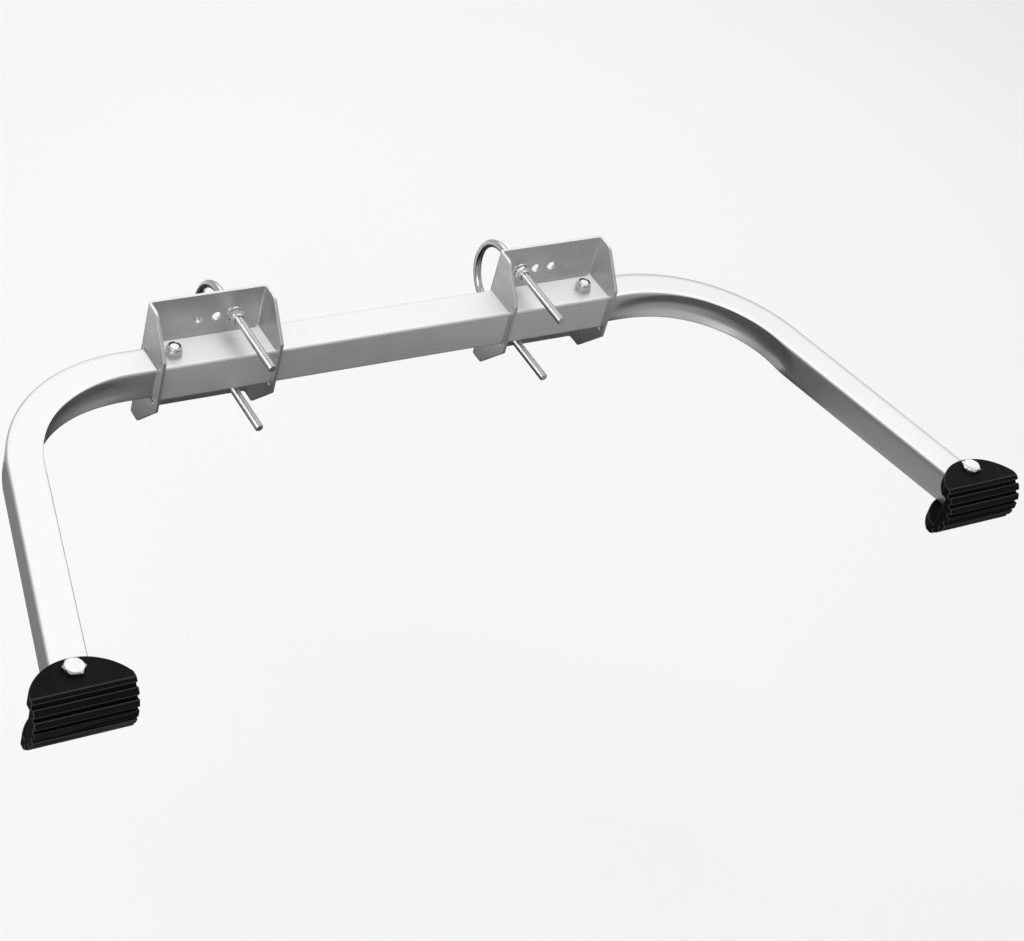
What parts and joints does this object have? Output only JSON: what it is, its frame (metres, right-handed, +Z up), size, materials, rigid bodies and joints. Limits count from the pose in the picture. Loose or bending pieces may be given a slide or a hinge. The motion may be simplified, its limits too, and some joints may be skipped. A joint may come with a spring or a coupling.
{
  "type": "ladder standoff",
  "caption": "Square tube with bent arms and swivelling rubber feet that holds a ladder off a wall, clamped to a rung by folded brackets and U-bolts",
  "frame": {"origin": "the rung seat: on the back faces of the two bracket plates, midway between them, at the height of the middle of the square tube", "axes": "+X to the right along the tube as seen from the wall side, +Y from the wall towards the ladder, +Z up the ladder"},
  "size_m": [0.994, 0.4701, 0.1248],
  "materials": {
    "tube_aluminium": "satin extruded aluminium",
    "arm_aluminium": "satin extruded aluminium",
    "bracket_steel": "folded steel sheet, zinc plated",
    "zinc_fastener": "bright zinc plate",
    "foot_rubber": "moulded black rubber"
  },
  "bodies": {
    "frame": {"centre_tube": "tube_aluminium", "left_arm": "arm_aluminium", "right_arm": "arm_aluminium", "left_arm_bolt": "zinc_fastener", "right_arm_bolt": "zinc_fastener", "left_arm_nut": "zinc_fastener", "right_arm_nut": "zinc_fastener"},
    "left_bracket": {"left_bracket": "bracket_steel", "left_upper_washer": "zinc_fastener", "left_lower_washer": "zinc_fastener"},
    "left_u_bolt": {"left_u_bolt": "zinc_fastener"},
    "left_upper_nut": {"left_upper_nut": "zinc_fastener"},
    "left_lower_nut": {"left_lower_nut": "zinc_fastener"},
    "left_foot": {"left_foot": "foot_rubber", "left_foot_bolt": "zinc_fastener", "left_foot_washer": "zinc_fastener", "left_foot_nut": "zinc_fastener"},
    "right_bracket": {"right_bracket": "bracket_steel", "right_upper_washer": "zinc_fastener", "right_lower_washer": "zinc_fastener"},
    "right_u_bolt": {"right_u_bolt": "zinc_fastener"},
    "right_upper_nut": {"right_upper_nut": "zinc_fastener"},
    "right_lower_nut": {"right_lower_nut": "zinc_fastener"},
    "right_foot": {"right_foot": "foot_rubber", "right_foot_bolt": "zinc_fastener", "right_foot_washer": "zinc_fastener", "right_foot_nut": "zinc_fastener"}
  },
  "joints": [
    {"name": "left_bracket_slide", "type": "slide", "parent": "frame", "child": "left_bracket", "axis": [1, 0, 0], "range_m": [-0.018, 0.0075]},
    {"name": "left_u_bolt_slide", "type": "slide", "parent": "left_bracket", "child": "left_u_bolt", "axis": [0, 1, 0], "range_m": [-0.026, 0.06]},
    {"name": "left_upper_nut_turn", "type": "hinge", "parent": "left_bracket", "child": "left_upper_nut", "pos_m": [-0.1535, -0.0086, 0.0374], "axis": [0, 1, 0], "range_deg": [-17290, 7500]},
    {"name": "left_lower_nut_turn", "type": "hinge", "parent": "left_bracket", "child": "left_lower_nut", "pos_m": [-0.1535, -0.0086, -0.0326], "axis": [0, 1, 0], "range_deg": [-17290, 7500]},
    {"name": "left_foot_swivel", "type": "hinge", "parent": "frame", "child": "left_foot", "pos_m": [-0.45401, -0.36564, 0], "axis": [0, 0, 1], "range_deg": [-47.9, 21.9]},
    {"name": "right_bracket_slide", "type": "slide", "parent": "frame", "child": "right_bracket", "axis": [1, 0, 0], "range_m": [-0.0075, 0.018]},
    {"name": "right_u_bolt_slide", "type": "slide", "parent": "right_bracket", "child": "right_u_bolt", "axis": [0, 1, 0], "range_m": [-0.026, 0.06]},
    {"name": "right_upper_nut_turn", "type": "hinge", "parent": "right_bracket", "child": "right_upper_nut", "pos_m": [0.1535, -0.0086, 0.0374], "axis": [0, 1, 0], "range_deg": [-17290, 7500]},
    {"name": "right_lower_nut_turn", "type": "hinge", "parent": "right_bracket", "child": "right_lower_nut", "pos_m": [0.1535, -0.0086, -0.0326], "axis": [0, 1, 0], "range_deg": [-17290, 7500]},
    {"name": "right_foot_swivel", "type": "hinge", "parent": "frame", "child": "right_foot", "pos_m": [0.45401, -0.36564, 0], "axis": [0, 0, 1], "range_deg": [-21.9, 47.9]}
  ],
  "couplings": [
    {"joint": "left_upper_nut_turn", "follows": "left_u_bolt_slide", "rad_per_m": -5026.5},
    {"joint": "left_lower_nut_turn", "follows": "left_u_bolt_slide", "rad_per_m": -5026.5},
    {"joint": "right_upper_nut_turn", "follows": "right_u_bolt_slide", "rad_per_m": -5026.5},
    {"joint": "right_lower_nut_turn", "follows": "right_u_bolt_slide", "rad_per_m": -5026.5}
  ]
}
